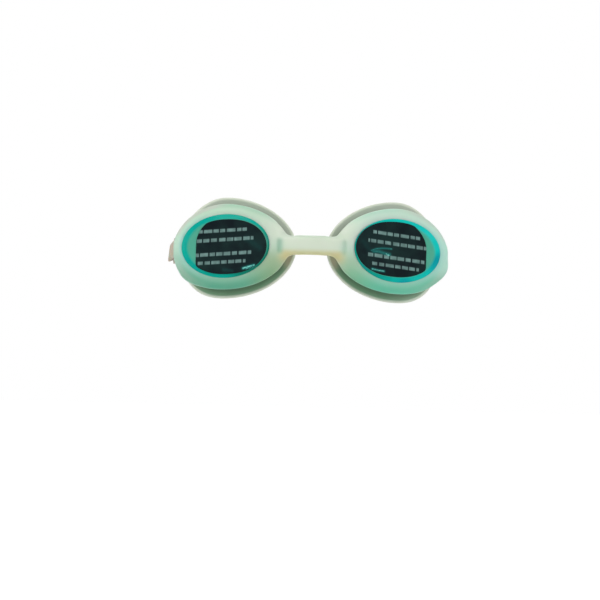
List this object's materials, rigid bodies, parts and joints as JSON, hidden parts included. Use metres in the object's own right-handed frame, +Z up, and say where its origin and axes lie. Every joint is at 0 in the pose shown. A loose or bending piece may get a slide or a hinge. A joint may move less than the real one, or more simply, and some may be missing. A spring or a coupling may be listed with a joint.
{
  "type": "swimming goggles",
  "caption": "Adult swimming goggles: one-piece translucent soft frame with face seals, tinted bevelled lenses under smoky peel-off films, and a split strap on swivelling side buckles.",
  "frame": {"origin": "middle of the nose, in the plane where the face seals touch the face there, at the height of the lens middles", "axes": "the lenses face -Y, +Y runs back to the strap behind the head, +X is the wearer's left, +Z is up"},
  "size_m": [0.1652, 0.1991, 0.0596],
  "materials": {
    "frame_silicone": "milky mint-green translucent silicone, satin",
    "seal_silicone": "paler, clearer soft silicone with a light rim, satin",
    "lens_tint": "teal-tinted clear polycarbonate, polished bevel",
    "film": "smoky dark protective film with pale printed dashes",
    "buckle_plastic": "beige-grey moulded plastic, slightly worn",
    "strap_silicone": "beige-grey ribbed silicone, satin"
  },
  "bodies": {
    "frame": {"front_frame": "frame_silicone", "left_face_seal": "seal_silicone", "right_face_seal": "seal_silicone", "left_lens": "lens_tint", "right_lens": "lens_tint", "left_strap_anchor": "buckle_plastic", "right_strap_anchor": "buckle_plastic", "left_pivot_cap": "buckle_plastic", "right_pivot_cap": "buckle_plastic"},
    "strap": {"head_strap": "strap_silicone", "left_swivel_buckle": "buckle_plastic", "right_swivel_buckle": "buckle_plastic"},
    "left_film": {"left_lens_film": "film"},
    "right_film": {"right_lens_film": "film"},
    "left_keeper": {"left_strap_keeper": "strap_silicone"},
    "right_keeper": {"right_strap_keeper": "strap_silicone"}
  },
  "joints": [
    {"name": "strap_swing", "type": "hinge", "parent": "frame", "child": "strap", "pos_m": [0, 0.01396, -0.0024], "axis": [1, 0, 0], "range_deg": [-40, 40]},
    {"name": "left_film_peel", "type": "slide", "parent": "frame", "child": "left_film", "axis": [0.2079, -0.9781, 0], "range_m": [0, 0.012]},
    {"name": "right_film_peel", "type": "slide", "parent": "frame", "child": "right_film", "axis": [-0.2079, -0.9781, 0], "range_m": [0, 0.012]},
    {"name": "left_keeper_slide", "type": "slide", "parent": "strap", "child": "left_keeper", "axis": [0, 0.9934, 0.1149], "range_m": [-0.005, 0.008]},
    {"name": "right_keeper_slide", "type": "slide", "parent": "strap", "child": "right_keeper", "axis": [0, 0.9934, 0.1149], "range_m": [-0.005, 0.008]}
  ]
}
